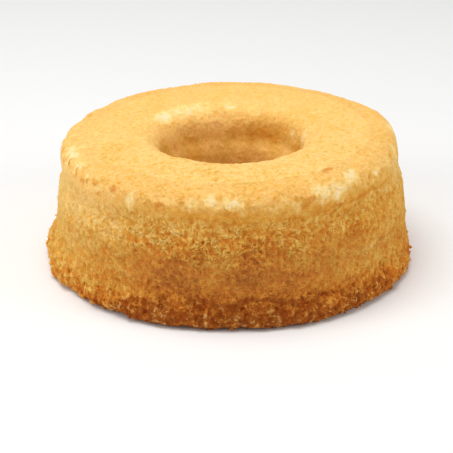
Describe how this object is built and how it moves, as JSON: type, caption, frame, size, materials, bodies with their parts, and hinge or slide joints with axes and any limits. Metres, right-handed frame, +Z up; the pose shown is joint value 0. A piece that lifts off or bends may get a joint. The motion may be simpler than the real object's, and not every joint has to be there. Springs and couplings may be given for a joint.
{
  "type": "vanilla cake",
  "caption": "Ring-shaped vanilla sponge of the angel food kind: tapered wall, rounded shoulder, tube hole and torn, craggy golden crumb.",
  "frame": {"origin": "on the table plane, in the middle of the underside: below the middle of the cake's width and depth", "axes": "+Z up through the cake, -Y towards the side that the picture shows, +X to the right as it is seen there"},
  "size_m": [0.205, 0.203, 0.0726],
  "materials": {
    "golden_crumb": "matt golden baked crumb, paler on the top and at the shoulder, darker and coarser towards the foot"
  },
  "bodies": {
    "root": {"cake": "golden_crumb"}
  },
  "joints": []
}
